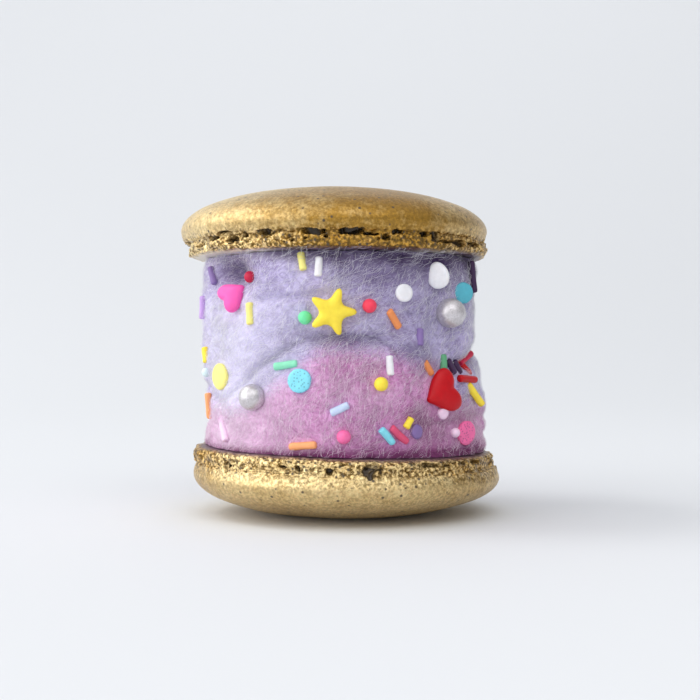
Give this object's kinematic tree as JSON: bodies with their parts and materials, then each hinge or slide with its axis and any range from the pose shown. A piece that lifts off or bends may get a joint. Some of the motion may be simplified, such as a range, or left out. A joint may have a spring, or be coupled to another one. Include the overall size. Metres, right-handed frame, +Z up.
{
  "type": "macaron",
  "caption": "Tall macaron: gold-dusted shells around a thick filling of lavender and pink spun sugar floss dotted with sugar sprinkles.",
  "frame": {"origin": "on the table under the middle of the macaron", "axes": "+Z up, -Y towards the side with the yellow star, +X to the right of someone facing that side"},
  "size_m": [0.0518, 0.0498, 0.0522],
  "materials": {
    "gold_shell": "baked almond meringue brushed with edible gold lustre dust, satin and slightly grainy",
    "pink_floss": "soft spun sugar fibres, matt, with pale stray strands",
    "lavender_floss": "soft spun sugar fibres, matt, with pale stray strands"
  },
  "bodies": {
    "root": {"lower_shell": "gold_shell", "pink_floss": "pink_floss", "lavender_floss": "lavender_floss", "upper_shell": "gold_shell"}
  },
  "joints": []
}
